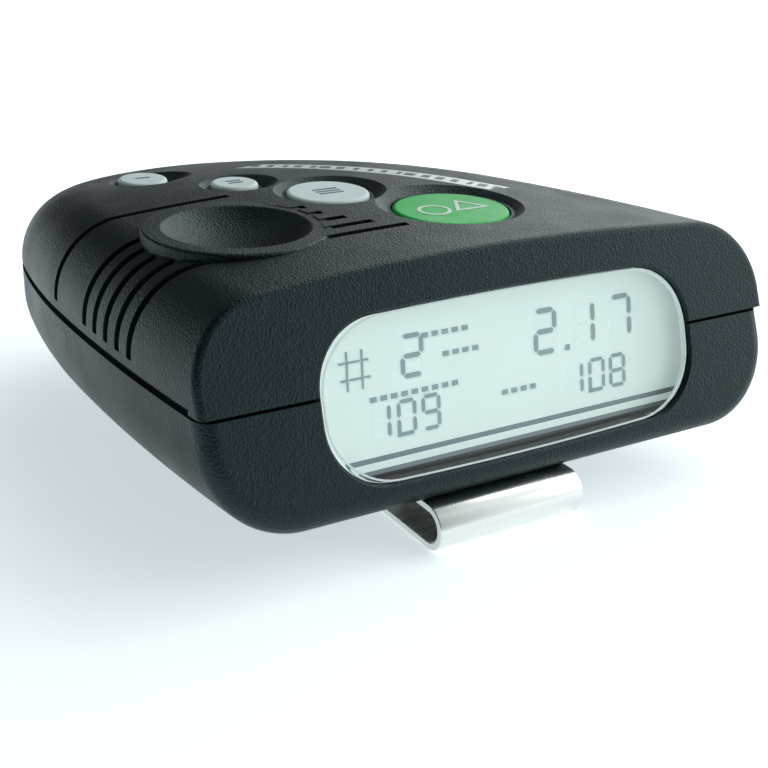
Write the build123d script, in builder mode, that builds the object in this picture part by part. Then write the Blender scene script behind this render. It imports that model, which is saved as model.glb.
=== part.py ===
"""Pocket shot timer: a two-part hand case with a sloping display face, four keys on the top,
a steel belt clip under it, and the display, boards, sounder, microphone and cell inside.

Frame: +Z up through the keys, +Y away from the display face, +X to the right of the display.
The origin is on the flat underside of the belt clip, on which the timer rests, 36 mm in
from the left end of the display face.
"""

import os
from functools import lru_cache
from math import cos, radians, sin, sqrt

from build123d import *

# ---- driving dimensions, millimetres and degrees ----
FACE_WIDTH = 72.0          # width of the display face at the parting line
FACE_LEAN = 17.3           # the top of the face leans away from the reader
FACE_TO_ORIGIN = 20.0      # the face stands this far ahead of the origin
WALL = 2.0
CASE_RISE = 12.0           # parting line to the top of the case
CASE_DROP = 12.7           # parting line to the underside of the case
TOP_ROUND = 8.5
BOTTOM_ROUND = 9.5
CROWN_RADIUS = 340.0       # the top is slightly crowned across its width
TAIL_SLOPE_START = 28.6    # behind here the top curves down to the tail
TAIL_SLOPE_RADIUS = 172.0

# plan outline, measured back from the face
LEFT_BULGE = 2.15          # the left side swells by this much beyond the face
LEFT_BULGE_AT = 33.0
TAIL_LEFT_RADIUS = 108.0
RIGHT_RADIUS = 125.0
RIGHT_SPREAD = 1.3         # the right end of the face stands this much further out
RIGHT_START_ANGLE = 15.5   # the right side already sweeps inwards at the face
TAIL_ROUND = 20.0
FRONT_SPARE = 12.0         # stock ahead of the face, cut away by the leaning face

# case details
FACE_EDGE_TOP = 0.8
FACE_EDGE_BOTTOM = 2.0
SEAM_DEPTH = 0.7
SEAM_SIDE = 0.9            # height of the shadow line along the sides
SEAM_FACE = 0.35           # and where it crosses the face
GROOVE_WIDTH = 1.1
GROOVE_DEPTH = 1.0
GROOVE_LOW_END = 1.9       # above the parting line
GROOVE_FIRST = 14.1
GROOVE_PITCH = 2.8
GROOVE_RIGHT_ENDS = (-5.0, -7.8, -9.6, -11.0, -11.6)
GROOVE_LAST = 34.2
GROOVE_LAST_END = -17.0

# thumb dish, above the sounder
DISH_X, DISH_Y = -21.7, 22.0
DISH_RADIUS = 8.1
DISH_DEPTH = 2.6
DISH_RIM_WIDTH = 2.2
DISH_RIM_RISE = 0.35
DISH_FLOOR = 1.5

# display
WINDOW_HALF = 23.4
WINDOW_SHIFT = 0.8         # the window's middle is this far right of the frame's
WINDOW_TOP = 7.2
WINDOW_BOTTOM = -9.4
WINDOW_ARCH = 0.5
WINDOW_CORNER = 7.0
WINDOW_RECESS = 0.4
WINDOW_THICKNESS = 3.0
WINDOW_LIP = 1.4
LCD_HALF = 26.0
LCD_TOP, LCD_BOTTOM = 8.6, -9.0
LCD_THICKNESS = 1.8
STRIP_LENGTH, STRIP_WIDTH, STRIP_DEPTH = 48.0, 1.4, 1.8
BOARD_THICKNESS = 1.2
DISPLAY_BOARD_TOP, DISPLAY_BOARD_BOTTOM = 9.4, -8.0

# keys: plan position from the face, cap radius, height of the cap top over the case top
KEYS = {
    "go": (4.1, 19.1, 6.85, -0.6),
    "review": (-5.6, 30.8, 5.0, -0.3),
    "up": (-13.3, 40.3, 2.9, 0.0),
    "down": (-20.3, 52.5, 3.1, 0.0),
}
KEY_TRAVEL = 0.5
KEY_GAP = 0.15
KEY_FLANGE = 0.8
KEY_GUIDE_WALL = 1.3
KEY_GUIDE_DROP = 0.9       # the guide sleeve hangs this far below the inside of the top
KEY_STEM_RADIUS = 1.2
RECESS_DEPTH = 0.8
RECESS_SPREAD = 1.9
SWITCH_SIZE = 4.5
SWITCH_HEIGHT = 2.4
PLUNGER_RADIUS = 0.8
PLUNGER_STAND = 0.7        # the plunger stands this far out of the switch
PLUNGER_FIT = 0.05
MAIN_BOARD_TOP = 1.7       # above the parting line
MAIN_BOARD_FRONT = 12.6    # behind the face

# sounder, microphone
PIEZO_RADIUS = 7.5
PIEZO_THICKNESS = 0.4
SOUNDER_RING_DEPTH = 0.8
MIC_RADIUS = 2.5
MIC_DEPTH = 3.4
MIC_Y = 19.7
MIC_Z = 3.5

# power
CELL_RADIUS = 6.5
CELL_LENGTH = 25.2
CELL_X = -20.8
CELL_FRONT = 12.8
CELL_NUB_RADIUS, CELL_NUB = 3.0, 0.6
CONTACT_SHEET = 0.3
BAY_WALL = 1.2
BAY_HEIGHT = 6.0
BAY_END_ROOM = 1.5
DOOR_THICKNESS = 1.25
DOOR_MARGIN = 1.0          # the door covers the bay's mouth by this much all round
DOOR_TONGUE = 0.5
DOOR_SLIDE = 4.0
DOOR_GAP = 0.15

# screws
CASE_POSTS = ((-30.8, 7.6), (30.4, 7.6), (13.4, 34.5), (-14.5, 59.6))
POST_RADIUS = 2.6
SCREW_RADIUS = 1.0
SCREW_HEAD_RADIUS = 2.0
SCREW_HEAD = 1.2
PILOT_FIT = 0.05
CASE_SCREW_SINK = 5.0      # the case screws' heads sit this deep in the underside
CASE_SCREW_BITE = 6.0
BOARD_POSTS = ((17.0, 16.5), (-3.0, 51.0))
BOARD_POST_RADIUS = 2.0

# belt clip
CLIP_LEFT, CLIP_RIGHT = -12.2, 6.5
CLIP_SHEET = 0.8
CLIP_BEND_AT = -3.1        # centre of the bend, measured from the face
CLIP_HEIGHT = 5.1          # underside of the case above the surface it rests on
CLIP_SPLIT = 0.7
CLIP_PLATE_END = 15.0
CLIP_FLAT_END = 44.0
CLIP_KNEE = 49.0
CLIP_LIP_END = 53.0
CLIP_NIP = 0.35            # the closed clip stops this far short of the case
CLIP_SCREW_Y = 10.8
CLIP_SCREW_SPACING = 10.0
CLIP_SCREW_HEAD = 0.8
CLIP_POST_HEIGHT = 4.0
CLIP_POST_CAP = 0.8        # left solid at the top of each post

# name plate
LABEL_INSIDE, LABEL_WIDTH = 11.4, 2.8
LABEL_THICKNESS = 0.3
LABEL_FROM, LABEL_TO = 23.0, 49.0

# fits and small details
CUT = 1.0                  # cutters run this far past the faces that they cut
WINDOW_FIT = 0.1
WINDOW_EDGE = 0.25
ON_SURFACE = 0.01          # an edge this near the face counts as lying on it
MOUTH_BEVEL = 0.3
SEAM_FACE_BAND = 2.2       # behind here the seam has its full height
RECESS_FOOT = 0.5
KEY_EDGE = 0.5
KEY_FLANGE_RIM = 0.7
KEY_REST_GAP = 0.05
PLUNGER_REST = 0.3
BOARD_FIT = 0.5
BOARD_SCREW_BITE = 4.0
PILOT_ROOM = 0.5           # pilot holes run on past the screws' tips
LCD_FIT = 0.15
HOLDER_WALL = 1.1
HOLDER_PROUD = 0.2         # the holder stands this far ahead of the panel
RIBBON = 0.3
RIBBON_WIDTH = 16.0
RIBBON_LAP = 4.0
RIBBON_TOP = 7.0
RIBBON_BEND = 1.0
LABEL_FIT = 0.05
LABEL_LEFT = -12.0
MIC_PORT_RADIUS = 0.5
MIC_BOOT_WALL = 0.8
MIC_WALL_GAP = 2.8
SOUNDER_RING_WIDTH = 1.5
CELL_EDGE = 0.8
BAY_FIT = 0.3
CELL_NOTCH_LAP = 1.2       # the board may reach this far over the cell's flank
CONTACT_WIDTH = 6.0
CONTACT_TAIL = 3.0
CONTACT_FOOT = 2.0
DOOR_FIT = 0.06
DOOR_CORNER = 1.0
DOOR_TONGUE_INSET = 2.0
DOOR_RIB_INSET = 3.0
DOOR_RIBS = 4
DOOR_RIB = 0.5
DOOR_RIB_PITCH = 1.5
POST_CLEAR = 0.1           # the lower columns stop this far short of the upper ones
SCREW_CLEAR = 0.3
SLOT_HALF = 0.25
SLOT_DEPTH = 0.5
CLIP_CORNER = 0.7
CLIP_KNEE_ROUND = 1.5
CLIP_LIP_DROP = 1.4

# components on the main board: plan position, width, length, height
CHIPS = (
    (10.0, 27.5, 7.0, 7.0, 1.2),
    (-5.5, 20.5, 4.0, 5.0, 1.0),
    (1.5, 38.5, 3.8, 8.0, 3.0),
    (14.0, 26.0, 1.2, 5.0, 0.8),
    (-24.0, 46.5, 5.0, 4.0, 1.5),
)

# ---- levels that follow ----
FACE_Y = -FACE_TO_ORIGIN
PARTING = CLIP_HEIGHT + CASE_DROP
UNDERSIDE = CLIP_HEIGHT
INNER_FLOOR = UNDERSIDE + WALL
BOARD_TOP = PARTING + MAIN_BOARD_TOP
PLUNGER_TOP = BOARD_TOP + SWITCH_HEIGHT + PLUNGER_STAND
LCD_FRONT = WINDOW_RECESS + WINDOW_THICKNESS + 0.3
LCD_BACK = LCD_FRONT + LCD_THICKNESS
DISPLAY_BOARD_FRONT = LCD_BACK + STRIP_DEPTH
CLIP_MIDDLE = (CLIP_LEFT + CLIP_RIGHT) / 2
BEND_RADIUS = CLIP_HEIGHT / 2
CELL_Z = INNER_FLOOR + 0.3 + CELL_RADIUS

os.makedirs("parts", exist_ok=True)


def finish(piece, name):
    """Name a finished piece and write it as its own file."""
    piece.label = name
    export_step(piece, f"parts/{name}.step")


def behind_face(x, y, z=0.0):
    """A point given from the middle of the face and the resting surface."""
    return (x, FACE_Y + y, z)


def face_plane(depth=0.0):
    """The leaning face's plane, facing the reader, moved into the case by depth."""
    lean = radians(FACE_LEAN)
    plane = Plane(origin=behind_face(0, 0, PARTING), x_dir=(1, 0, 0), z_dir=(0, -cos(lean), sin(lean)))
    return plane.offset(-depth)


def top_height(x, y):
    """Height of the case top over a point y behind the face."""
    past = max(0.0, y - TAIL_SLOPE_START)
    drop = TAIL_SLOPE_RADIUS - sqrt(TAIL_SLOPE_RADIUS**2 - past**2)
    return PARTING + CASE_RISE - x**2 / (2 * CROWN_RADIUS) - drop


def plan_outline(inset=0.0):
    """The case seen from above, on the plane of the resting surface."""
    left_x = -FACE_WIDTH / 2 - LEFT_BULGE
    left_radius = (LEFT_BULGE_AT**2 + LEFT_BULGE**2) / (2 * LEFT_BULGE)
    front = -FRONT_SPARE

    def left_side(y):
        return left_x + left_radius - sqrt(left_radius**2 - (y - LEFT_BULGE_AT) ** 2)

    start = radians(RIGHT_START_ANGLE)
    right_end = FACE_WIDTH / 2 + RIGHT_SPREAD
    right_centre = (right_end - RIGHT_RADIUS * cos(start), -RIGHT_RADIUS * sin(start))

    def right_side(y):
        return right_centre[0] + sqrt(RIGHT_RADIUS**2 - (y - right_centre[1]) ** 2)

    tail_centre = (left_x + TAIL_LEFT_RADIUS, LEFT_BULGE_AT)
    across = tail_centre[0] - right_centre[0]
    along = tail_centre[1] - right_centre[1]
    apart = sqrt(across**2 + along**2)
    reach = (RIGHT_RADIUS**2 - TAIL_LEFT_RADIUS**2 + apart**2) / (2 * apart)
    rise = sqrt(RIGHT_RADIUS**2 - reach**2)
    tip_x = right_centre[0] + (reach * across - rise * along) / apart
    tip_y = right_centre[1] + (reach * along + rise * across) / apart
    middle = (LEFT_BULGE_AT + tip_y) / 2
    tail_middle = tail_centre[0] - sqrt(TAIL_LEFT_RADIUS**2 - (middle - LEFT_BULGE_AT) ** 2)

    with BuildSketch(Plane(behind_face(0, 0))) as outline:
        with BuildLine():
            ThreePointArc((left_side(front), front), (left_side(0), 0), (left_x, LEFT_BULGE_AT))
            ThreePointArc((left_x, LEFT_BULGE_AT), (tail_middle, middle), (tip_x, tip_y))
            ThreePointArc((tip_x, tip_y), (right_side(tip_y / 2), tip_y / 2), (right_side(front), front))
            Line((right_side(front), front), (left_side(front), front))
        make_face()
        fillet(outline.vertices().sort_by(Axis.Y)[-1], TAIL_ROUND)
        if inset:
            offset(amount=-inset)
    return outline.sketch


@lru_cache(maxsize=None)
def top_envelope(inset):
    """Everything under the crowned top, which is level in front and curves down at the tail."""
    half = FACE_WIDTH
    top = CASE_RISE - inset
    sag = half**2 / (2 * CROWN_RADIUS)
    section_plane = Plane(
        origin=behind_face(0, TAIL_SLOPE_START, PARTING), x_dir=(1, 0, 0), z_dir=(0, -1, 0)
    )
    hub = behind_face(0, TAIL_SLOPE_START, PARTING + CASE_RISE - TAIL_SLOPE_RADIUS)
    with BuildPart() as envelope:
        with BuildSketch(section_plane) as section:
            with BuildLine():
                Spline((-half, top - sag), (0, top), (half, top - sag))
                foot = -2 * CASE_DROP
                Polyline((half, top - sag), (half, foot), (-half, foot), (-half, top - sag))
            make_face()
        extrude(amount=TAIL_SLOPE_START + 2 * FRONT_SPARE)
        revolve(section.sketch, axis=Axis(hub, (-1, 0, 0)), revolution_arc=30)
    return envelope.part


@lru_cache(maxsize=None)
def case_form(inset=0.0):
    """The solid that the case encloses, with every surface moved in by inset."""
    with BuildPart() as form:
        with BuildSketch(Plane.XY.offset(UNDERSIDE + inset)):
            add(plan_outline(inset))
        extrude(amount=2 * (CASE_RISE + CASE_DROP))
        add(top_envelope(inset), mode=Mode.INTERSECT)
        rim = form.edges().filter_by(Axis.Z, reverse=True)
        rim = rim.filter_by(lambda edge: edge.center().Y > FACE_Y - FRONT_SPARE + 1.0)
        bottom_rim = rim.filter_by(lambda edge: edge.center().Z < UNDERSIDE + inset + 0.01)
        fillet(bottom_rim, BOTTOM_ROUND - inset)
        seam_y = FACE_Y + TAIL_SLOPE_START
        top_rim = form.edges().filter_by(Axis.Z, reverse=True)
        top_rim = top_rim.filter_by(lambda edge: edge.center().Z > PARTING + 1.0)
        top_rim = top_rim.filter_by(lambda edge: edge.center().Y > FACE_Y - FRONT_SPARE + 1.0)
        top_rim = top_rim.filter_by(lambda edge: abs(edge.center().Y - seam_y) > 0.05)
        fillet(top_rim, TOP_ROUND - inset)
        split(bisect_by=face_plane(inset), keep=Keep.BOTTOM)
    return form.part



def block(low, high):
    """A box between two corners given from the middle of the face and the resting surface."""
    size = [b - a for a, b in zip(low, high)]
    middle = [(a + b) / 2 for a, b in zip(low, high)]
    with BuildPart() as made:
        with Locations(behind_face(*middle)):
            Box(*size)
    return made.part


def post(x, y, radius, low, high):
    """An upright cylinder, placed as block is."""
    with BuildPart() as made:
        with BuildSketch(Plane(behind_face(x, y, low))):
            Circle(radius)
        extrude(amount=high - low)
    return made.part


def window_outline(plane, grow=0.0):
    """The display opening: long sides slightly arched, corners generously rounded."""
    left = WINDOW_SHIFT - WINDOW_HALF - grow
    right = WINDOW_SHIFT + WINDOW_HALF + grow
    top = WINDOW_TOP + grow
    low = WINDOW_BOTTOM - grow
    middle = (top + low) / 2
    with BuildSketch(plane) as outline:
        with BuildLine():
            ThreePointArc((left, top), (WINDOW_SHIFT, top + WINDOW_ARCH), (right, top))
            ThreePointArc((right, top), (right + WINDOW_ARCH, middle), (right, low))
            ThreePointArc((right, low), (WINDOW_SHIFT, low - WINDOW_ARCH), (left, low))
            ThreePointArc((left, low), (left - WINDOW_ARCH, middle), (left, top))
        make_face()
        fillet(outline.vertices(), WINDOW_CORNER + grow)
    return outline.sketch


def window_mouth():
    """The hole for the window through the front wall."""
    with BuildPart() as mouth:
        outline = window_outline(face_plane(WALL + CUT), WINDOW_FIT)
        extrude(outline, amount=WALL + 2 * CUT, dir=face_plane().z_dir)
    return mouth.part


def mouth_edges(shell):
    """The window opening's edges on the outside of the face."""
    plane = face_plane()

    def on_mouth(edge):
        spot = plane.to_local_coords(edge.center())
        beside = abs(spot.X - WINDOW_SHIFT) < WINDOW_HALF + CUT
        level = WINDOW_BOTTOM - CUT < spot.Y < WINDOW_TOP + CUT
        return beside and level and abs(spot.Z) < ON_SURFACE

    return shell.edges().filter_by(on_mouth)


def seam_cut():
    """The shadow line where the shells meet: tall along the sides, fine across the face."""
    reach = FACE_WIDTH
    with BuildPart() as cut:
        add(block((-reach, -FRONT_SPARE, PARTING), (reach, 2 * reach, PARTING + SEAM_FACE)))
        add(block((-reach, SEAM_FACE_BAND, PARTING), (reach, 2 * reach, PARTING + SEAM_SIDE)))
        add(case_form(SEAM_DEPTH), mode=Mode.SUBTRACT)
    return cut.part


def side_grooves():
    """Five close grooves round the thumb dish and one more behind it."""
    low = PARTING + GROOVE_LOW_END
    rows = [(GROOVE_FIRST + step * GROOVE_PITCH, end) for step, end in enumerate(GROOVE_RIGHT_ENDS)]
    rows.append((GROOVE_LAST, GROOVE_LAST_END))
    half = GROOVE_WIDTH / 2
    with BuildPart() as grooves:
        for y, right_end in rows:
            add(block((-FACE_WIDTH, y - half, low), (right_end, y + half, low + 2 * CASE_RISE)))
        add(case_form(GROOVE_DEPTH), mode=Mode.SUBTRACT)
    return grooves.part


def dish_cup():
    """The thumb dish with its raised rim, as a plug that fills a hole in the top."""
    rim_radius = DISH_RADIUS + DISH_RIM_WIDTH
    level = top_height(DISH_X, DISH_Y)
    floor = level - DISH_DEPTH - DISH_FLOOR
    with BuildPart() as cup:
        add(post(DISH_X, DISH_Y, rim_radius, floor, level + DISH_RIM_RISE))
        fillet(cup.faces().sort_by(Axis.Z)[-1].edges(), DISH_RIM_RISE)
        add(dish_ball(), mode=Mode.SUBTRACT)
        circles = cup.edges().filter_by(GeomType.CIRCLE)
        mouth_edge = circles.sort_by(lambda edge: abs(edge.radius - DISH_RADIUS))[0]
        fillet(mouth_edge, DISH_RIM_RISE)
    return cup.part


def dish_ball():
    """The ball that hollows the thumb dish."""
    level = top_height(DISH_X, DISH_Y) + DISH_RIM_RISE
    deep = DISH_DEPTH + DISH_RIM_RISE
    radius = (DISH_RADIUS**2 + deep**2) / (2 * deep)
    with BuildPart() as ball:
        with Locations(behind_face(DISH_X, DISH_Y, level - deep + radius)):
            Sphere(radius, rotation=(90, 0, 0))
    return ball.part


def key_guides():
    """Sleeves under the top that the key caps run in."""
    with BuildPart() as guides:
        for x, y, radius, _ in KEYS.values():
            top = top_height(x, y)
            low = top - WALL - KEY_GUIDE_DROP
            add(post(x, y, radius + KEY_GAP + KEY_GUIDE_WALL, low, top))
        add(case_form(WALL / 2), mode=Mode.INTERSECT)
    return guides.part


def key_holes():
    """The caps' holes, each at the bottom of a shallow flared recess."""
    with BuildPart() as holes:
        for x, y, radius, _ in KEYS.values():
            top = top_height(x, y)
            add(post(x, y, radius + KEY_GAP, top - CASE_RISE / 2, top + 2.0))
            flare = radius + RECESS_SPREAD
            foot = radius + RECESS_FOOT
            rise = (flare - foot) / RECESS_DEPTH
            with Locations(behind_face(x, y, top)):
                Cone(foot, flare + rise * RECESS_DEPTH, 2 * RECESS_DEPTH)
    return holes.part


def case_columns(radius, low, high, places):
    """Screw columns that stay inside the case's skin."""
    with BuildPart() as columns:
        for x, y in places:
            add(post(x, y, radius, low, high))
        add(case_form(WALL / 2), mode=Mode.INTERSECT)
    return columns.part


def pilot_holes(places, low, high):
    """Pilot holes that the screws' threads bite into."""
    with BuildPart() as pilots:
        for x, y in places:
            add(post(x, y, SCREW_RADIUS + PILOT_FIT, low, high))
    return pilots.part


def label_band(fit=0.0):
    """The name plate's shape from above: a narrow band beside the right edge."""
    with BuildPart() as plate:
        with BuildSketch(Plane.XY.offset(PARTING)):
            add(plan_outline(LABEL_INSIDE - fit))
            add(plan_outline(LABEL_INSIDE + LABEL_WIDTH + fit), mode=Mode.SUBTRACT)
        extrude(amount=2 * CASE_RISE)
        add(
            block(
                (LABEL_LEFT - fit, LABEL_FROM - fit, PARTING),
                (FACE_WIDTH, LABEL_TO + fit, 3 * PARTING),
            ),
            mode=Mode.INTERSECT,
        )
    return plate.part


def make_top_shell():
    """The upper half of the case."""
    columns = case_columns(POST_RADIUS, PARTING, PARTING + 2 * CASE_RISE, CASE_POSTS)
    board_columns = case_columns(BOARD_POST_RADIUS, BOARD_TOP, PARTING + 2 * CASE_RISE, BOARD_POSTS)
    with BuildPart() as top_shell:
        add(case_form())
        split(bisect_by=Plane.XY.offset(PARTING), keep=Keep.TOP)
        face = top_shell.faces().sort_by(Axis((0, 0, 0), face_plane().z_dir))[-1]
        soft = face.edges().filter_by(lambda edge: edge.center().Z > PARTING + 0.5)
        fillet(soft, FACE_EDGE_TOP)
        add(case_form(WALL), mode=Mode.SUBTRACT)
        add(window_mouth(), mode=Mode.SUBTRACT)
        chamfer(mouth_edges(top_shell), MOUTH_BEVEL)
        add(columns)
        add(board_columns)
        add(side_grooves(), mode=Mode.SUBTRACT)
        add(dish_well(), mode=Mode.SUBTRACT)
        add(dish_cup())
        add(key_guides())
        add(key_holes(), mode=Mode.SUBTRACT)
        add(seam_cut(), mode=Mode.SUBTRACT)
        add(label_seat(), mode=Mode.SUBTRACT)
        add(pilot_holes(CASE_POSTS, PARTING - 1.0, PARTING + CASE_SCREW_BITE + 0.5), mode=Mode.SUBTRACT)
        pilot_end = BOARD_TOP + BOARD_SCREW_BITE + PILOT_ROOM
        add(pilot_holes(BOARD_POSTS, BOARD_TOP - CUT, pilot_end), mode=Mode.SUBTRACT)
        add(mic_port(), mode=Mode.SUBTRACT)
    finish(top_shell.part, "top_shell")
    return top_shell.part


def dish_well():
    """The round hole in the top that the dish's cup fills."""
    level = top_height(DISH_X, DISH_Y)
    radius = DISH_RADIUS + DISH_RIM_WIDTH / 2
    return post(DISH_X, DISH_Y, radius, level - CASE_RISE / 2, level + CASE_RISE)


def label_seat():
    """The recess that the name plate lies in."""
    with BuildPart() as seat:
        add(label_band(LABEL_FIT))
        add(case_form(LABEL_THICKNESS + LABEL_FIT), mode=Mode.SUBTRACT)
    return seat.part


def mic_port():
    """A small hole from one of the side grooves to the microphone."""
    with BuildPart() as port:
        with BuildSketch(Plane(origin=behind_face(-FACE_WIDTH, MIC_Y, PARTING + MIC_Z), z_dir=(1, 0, 0))):
            Circle(MIC_PORT_RADIUS)
        extrude(amount=FACE_WIDTH / 2 + WALL)
    return port.part


def bay_block(margin, low, high):
    """The space over the cell's footprint, grown by margin."""
    front, back = bay_ends()
    reach = bay_half() + margin
    return block((CELL_X - reach, front - margin, low), (CELL_X + reach, back + margin, high))


def bay_half():
    """Half the width of the cell's bay."""
    return CELL_RADIUS + BAY_FIT


def bay_ends():
    """Front and back of the cell's bay, behind the face."""
    return CELL_FRONT - BAY_END_ROOM, CELL_FRONT + CELL_LENGTH + BAY_END_ROOM


def door_pocket(wide, deep_low, deep_high, slide_room):
    """A track for the cell door or its tongues, open at the back by slide_room."""
    front, back = bay_ends()
    half = bay_half() + DOOR_MARGIN + wide
    return block(
        (CELL_X - half, front - DOOR_MARGIN - DOOR_GAP, deep_low),
        (CELL_X + half, back + DOOR_MARGIN + DOOR_GAP + slide_room, deep_high),
    )


def make_bottom_shell():
    """The lower half of the case, with the cell's bay and the clip's screw posts."""
    clip_places = clip_screw_places()
    tongue_low, tongue_high = door_tongue_levels()
    columns = case_columns(POST_RADIUS, UNDERSIDE, PARTING - POST_CLEAR, CASE_POSTS)
    with BuildPart() as bottom_shell:
        add(case_form())
        split(bisect_by=Plane.XY.offset(PARTING), keep=Keep.BOTTOM)
        face = bottom_shell.faces().sort_by(Axis((0, 0, 0), face_plane().z_dir))[-1]
        soft = face.edges().filter_by(lambda edge: edge.center().Z < PARTING - 0.5)
        fillet(soft, FACE_EDGE_BOTTOM)
        add(case_form(WALL), mode=Mode.SUBTRACT)
        add(window_mouth(), mode=Mode.SUBTRACT)
        chamfer(mouth_edges(bottom_shell), MOUTH_BEVEL)
        add(columns)
        for x, y in clip_places:
            add(post(x, y, POST_RADIUS, UNDERSIDE + WALL / 2, INNER_FLOOR + CLIP_POST_HEIGHT))
        add(bay_walls())
        add(bay_block(0.0, UNDERSIDE - 1.0, INNER_FLOOR + BAY_HEIGHT + 1.0), mode=Mode.SUBTRACT)
        pocket_top = UNDERSIDE + DOOR_THICKNESS + DOOR_GAP
        add(door_pocket(DOOR_GAP, UNDERSIDE - CUT, pocket_top, DOOR_SLIDE), mode=Mode.SUBTRACT)
        add(
            door_pocket(
                DOOR_TONGUE + DOOR_GAP, tongue_low - DOOR_FIT, tongue_high + DOOR_FIT, DOOR_SLIDE
            ),
            mode=Mode.SUBTRACT,
        )
        for x, y in CASE_POSTS:
            add(post(x, y, SCREW_RADIUS + SCREW_CLEAR, UNDERSIDE - 1.0, PARTING), mode=Mode.SUBTRACT)
            head_room = SCREW_HEAD_RADIUS + SCREW_CLEAR
            add(post(x, y, head_room, UNDERSIDE - CUT, case_head_seat()), mode=Mode.SUBTRACT)
        pilot_end = INNER_FLOOR + CLIP_POST_HEIGHT - CLIP_POST_CAP
        add(pilot_holes(clip_places, UNDERSIDE - CUT, pilot_end), mode=Mode.SUBTRACT)
    finish(bottom_shell.part, "bottom_shell")
    return bottom_shell.part


def case_head_seat():
    """Where the case screws' heads bear, inside their deep counterbores."""
    return UNDERSIDE + CASE_SCREW_SINK


def bay_walls():
    """The walls round the cell."""
    with BuildPart() as walls:
        add(bay_block(BAY_WALL, UNDERSIDE + WALL / 2, INNER_FLOOR + BAY_HEIGHT))
        add(case_form(WALL / 2), mode=Mode.INTERSECT)
    return walls.part


def door_tongue_levels():
    """Bottom and top of the tongues along the cell door's sides."""
    middle = UNDERSIDE + DOOR_THICKNESS / 2
    return middle - DOOR_TONGUE / 2, middle + DOOR_TONGUE / 2


def clip_screw_places():
    """The belt clip's two screws."""
    half = CLIP_SCREW_SPACING / 2
    return [(CLIP_MIDDLE - half, CLIP_SCREW_Y), (CLIP_MIDDLE + half, CLIP_SCREW_Y)]


def make_battery_door():
    """A flush door that slides towards the tail on two tongues."""
    front, back = bay_ends()
    half = bay_half() + DOOR_MARGIN
    tongue_low, tongue_high = door_tongue_levels()
    left, right = CELL_X - half, CELL_X + half
    low, high = UNDERSIDE + DOOR_FIT, UNDERSIDE + DOOR_THICKNESS
    near, far = front - DOOR_MARGIN, back + DOOR_MARGIN
    with BuildPart() as battery_door:
        add(block((left, near, low), (right, far, high)))
        fillet(battery_door.edges().filter_by(Axis.Z), DOOR_CORNER)
        add(
            block(
                (left - DOOR_TONGUE, near + DOOR_TONGUE_INSET, tongue_low),
                (right + DOOR_TONGUE, far - DOOR_TONGUE_INSET, tongue_high),
            )
        )
        for step in range(DOOR_RIBS):
            y = far - 4.0 - step * DOOR_RIB_PITCH
            near_end = (left + DOOR_RIB_INSET, y, low - CUT)
            far_end = (right - DOOR_RIB_INSET, y + DOOR_RIB, low + DOOR_RIB)
            add(block(near_end, far_end), mode=Mode.SUBTRACT)
    finish(battery_door.part, "battery_door")


def make_display_window():
    """A thick clear block in the face, held from behind by a lip along its top and sides."""
    lip_front = WALL + 0.1
    with BuildPart() as display_window:
        back = WINDOW_RECESS + WINDOW_THICKNESS
        extrude(window_outline(face_plane(back)), amount=WINDOW_THICKNESS, dir=face_plane().z_dir)
        with BuildSketch(face_plane(lip_front)):
            with Locations((WINDOW_SHIFT, WINDOW_LIP / 2 + (WINDOW_TOP + WINDOW_BOTTOM) / 2)):
                RectangleRounded(
                    2 * (WINDOW_HALF + WINDOW_LIP),
                    WINDOW_TOP - WINDOW_BOTTOM + WINDOW_LIP,
                    WINDOW_CORNER / 2,
                )
        extrude(amount=-(WINDOW_RECESS + WINDOW_THICKNESS - lip_front))
        outwards = Axis((0, 0, 0), face_plane().z_dir)
        fillet(display_window.faces().sort_by(outwards)[-1].edges(), WINDOW_EDGE)
    finish(display_window.part, "display_window")


def face_slab(half, low, high, front, back, corner=0.0):
    """A plate parallel to the face, between two depths behind it."""
    with BuildPart() as slab:
        with BuildSketch(face_plane(front)):
            with Locations((0, (low + high) / 2)):
                if corner:
                    RectangleRounded(2 * half, high - low, corner)
                else:
                    Rectangle(2 * half, high - low)
        extrude(amount=-(back - front))
    return slab.part


def make_display_parts():
    """The liquid crystal cell, its frame, its contact strips and its circuit board."""
    with BuildPart() as lcd_panel:
        add(face_slab(LCD_HALF, LCD_BOTTOM, LCD_TOP, LCD_FRONT, LCD_BACK))
    finish(lcd_panel.part, "lcd_panel")

    inner = LCD_HALF + LCD_FIT
    with BuildPart() as display_holder:
        add(
            face_slab(
                inner + HOLDER_WALL,
                DISPLAY_BOARD_BOTTOM,
                LCD_TOP + HOLDER_WALL,
                LCD_FRONT - HOLDER_PROUD,
                DISPLAY_BOARD_FRONT,
            )
        )
        add(
            face_slab(
                inner,
                DISPLAY_BOARD_BOTTOM - 5 * CUT,
                LCD_TOP + LCD_FIT,
                LCD_FRONT - CUT,
                DISPLAY_BOARD_FRONT + CUT,
            ),
            mode=Mode.SUBTRACT,
        )
    finish(display_holder.part, "display_holder")

    with BuildPart() as lcd_contact_strips:
        for low in (DISPLAY_BOARD_BOTTOM + 0.2, LCD_TOP - 0.4 - STRIP_WIDTH):
            add(face_slab(STRIP_LENGTH / 2, low, low + STRIP_WIDTH, LCD_BACK, DISPLAY_BOARD_FRONT))
    finish(lcd_contact_strips.part, "lcd_contact_strips")

    with BuildPart() as display_board:
        add(
            face_slab(
                inner + HOLDER_WALL,
                DISPLAY_BOARD_BOTTOM,
                DISPLAY_BOARD_TOP,
                DISPLAY_BOARD_FRONT,
                DISPLAY_BOARD_FRONT + BOARD_THICKNESS,
            )
        )
    finish(display_board.part, "display_board")


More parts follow.
